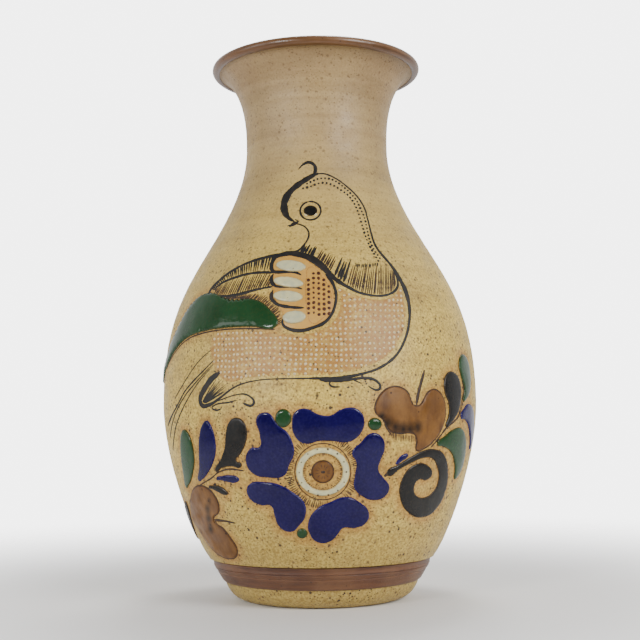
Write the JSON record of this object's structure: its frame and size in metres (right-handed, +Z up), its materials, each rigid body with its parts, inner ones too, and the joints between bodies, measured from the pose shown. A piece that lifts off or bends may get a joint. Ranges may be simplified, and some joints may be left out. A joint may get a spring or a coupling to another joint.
{
  "type": "decorated stoneware vase",
  "caption": "Round-bellied footed stoneware vase with a flared lip, speckled tan clay and raised coloured glazes of a bird and flowers.",
  "frame": {"origin": "centre of the standing ring, on the surface the vase stands on", "axes": "+Z up the vase's turning axis; -Y is the front, with the bird; +X is to the right seen from the front"},
  "size_m": [0.1635, 0.165, 0.28],
  "materials": {
    "clay": "matte",
    "brown_glaze": "gloss",
    "brown_slip": "satin",
    "cobalt_glaze": "gloss",
    "green_glaze": "gloss",
    "charcoal_glaze": "gloss",
    "honey_glaze": "gloss",
    "amber_glaze": "satin",
    "celadon_glaze": "gloss"
  },
  "bodies": {
    "root": {"back_flower_eye": "brown_glaze", "back_flower_ring": "celadon_glaze", "back_leaf_lower_left": "charcoal_glaze", "back_leaf_lower_right": "green_glaze", "back_leaf_upper_left": "green_glaze", "back_leaf_upper_right": "charcoal_glaze", "back_petal_1": "cobalt_glaze", "back_petal_2": "cobalt_glaze", "back_petal_3": "cobalt_glaze", "back_petal_4": "cobalt_glaze", "back_petal_5": "cobalt_glaze", "berry_bottom": "green_glaze", "berry_left": "green_glaze", "berry_right": "green_glaze", "bud_black_left": "charcoal_glaze", "bud_blue_left": "cobalt_glaze", "bud_blue_right": "cobalt_glaze", "feather_1": "celadon_glaze", "feather_2": "celadon_glaze", "feather_3": "celadon_glaze", "feather_4": "celadon_glaze", "flower_eye": "brown_glaze", "flower_ring": "celadon_glaze", "foot_band_lower": "brown_slip", "foot_band_upper": "brown_slip", "heart_left": "honey_glaze", "heart_right": "honey_glaze", "leaf_black_left": "charcoal_glaze", "leaf_black_right": "charcoal_glaze", "leaf_blue_left": "cobalt_glaze", "leaf_blue_right": "cobalt_glaze", "leaf_green_left": "green_glaze", "leaf_green_lower": "green_glaze", "leaf_green_upper": "green_glaze", "leaf_shadow_left": "charcoal_glaze", "lip_glaze": "brown_glaze", "petal_bottom_left": "cobalt_glaze", "petal_bottom_right": "cobalt_glaze", "petal_left": "cobalt_glaze", "petal_right": "cobalt_glaze", "petal_top": "cobalt_glaze", "scroll_right": "charcoal_glaze", "shoulder_patch": "amber_glaze", "side_left_heart": "honey_glaze", "side_left_leaf_far": "green_glaze", "side_left_leaf_middle": "cobalt_glaze", "side_left_leaf_near": "charcoal_glaze", "side_right_heart": "honey_glaze", "side_right_leaf_far": "green_glaze", "side_right_leaf_middle": "cobalt_glaze", "side_right_leaf_near": "charcoal_glaze", "vase_body": "clay", "wing_glaze": "green_glaze"}
  },
  "joints": []
}
